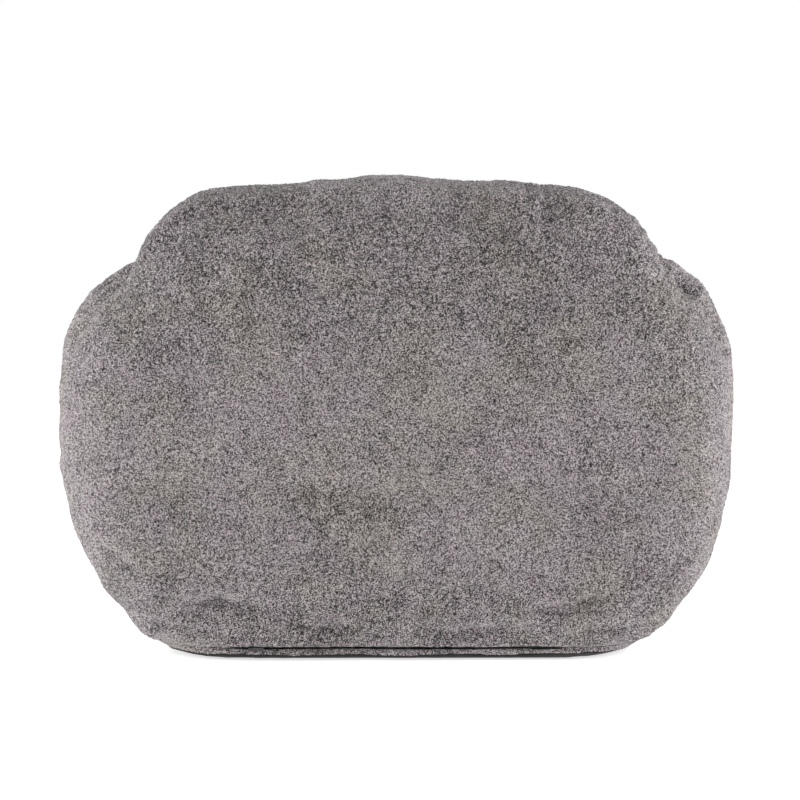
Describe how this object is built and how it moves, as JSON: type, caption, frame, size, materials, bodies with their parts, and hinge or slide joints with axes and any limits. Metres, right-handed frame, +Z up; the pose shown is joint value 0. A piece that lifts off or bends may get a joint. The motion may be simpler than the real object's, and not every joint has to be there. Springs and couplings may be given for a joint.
{
  "type": "bean bag chair",
  "caption": "Oversized bean bag armchair in curly pile fabric: soft back, arms and seat filled with shredded foam, zipped cover over an inner liner.",
  "frame": {"origin": "on the floor under the middle of the chair's width", "axes": "+Z up, the sitter faces -Y, +X to the sitter's left"},
  "size_m": [1.24, 0.967, 0.835],
  "materials": {
    "sherpa": "short curly pile",
    "base_cloth": "woven, hard-wearing",
    "liner_cloth": "plain woven polyester",
    "foam": "shredded polyurethane foam",
    "zip_tape": "woven tape",
    "zip_coil": "nylon coil",
    "zip_metal": "dark lacquer"
  },
  "bodies": {
    "root": {"rear_panel": "sherpa", "rear_hem_band": "sherpa", "backrest_panel": "sherpa", "left_arm_outer_panel": "sherpa", "left_arm_inner_panel": "sherpa", "right_arm_outer_panel": "sherpa", "right_arm_inner_panel": "sherpa", "seat_panel": "sherpa", "front_panel": "sherpa", "base_panel": "base_cloth", "back_liner": "liner_cloth", "seat_liner": "liner_cloth", "left_arm_liner": "liner_cloth", "right_arm_liner": "liner_cloth", "back_fill": "foam", "seat_fill": "foam", "left_arm_fill": "foam", "right_arm_fill": "foam", "cover_zip_upper_tape": "zip_tape", "cover_zip_lower_tape": "zip_tape", "liner_zip_upper_tape": "zip_tape", "liner_zip_lower_tape": "zip_tape", "cover_zip_upper_coil": "zip_coil", "cover_zip_lower_coil": "zip_coil", "liner_zip_upper_coil": "zip_coil", "liner_zip_lower_coil": "zip_coil", "cover_zip_top_stop": "zip_metal", "cover_zip_bottom_stop": "zip_metal", "liner_zip_top_stop": "zip_metal", "liner_zip_bottom_stop": "zip_metal"},
    "cover_slider": {"cover_zip_slider": "zip_metal"},
    "cover_pull": {"cover_zip_pull": "zip_metal"},
    "liner_slider": {"liner_zip_slider": "zip_metal"}
  },
  "joints": [
    {"name": "cover_zip_slide", "type": "slide", "parent": "root", "child": "cover_slider", "axis": [1, 0, 0], "range_m": [-0.514, 0]},
    {"name": "cover_pull_turn", "type": "hinge", "parent": "cover_slider", "child": "cover_pull", "pos_m": [0.257, 0.484, 0.0215], "axis": [0, 0, -1], "range_deg": [0, 165]},
    {"name": "liner_zip_slide", "type": "slide", "parent": "root", "child": "liner_slider", "axis": [1, 0, 0], "range_m": [-0.514, 0]}
  ]
}
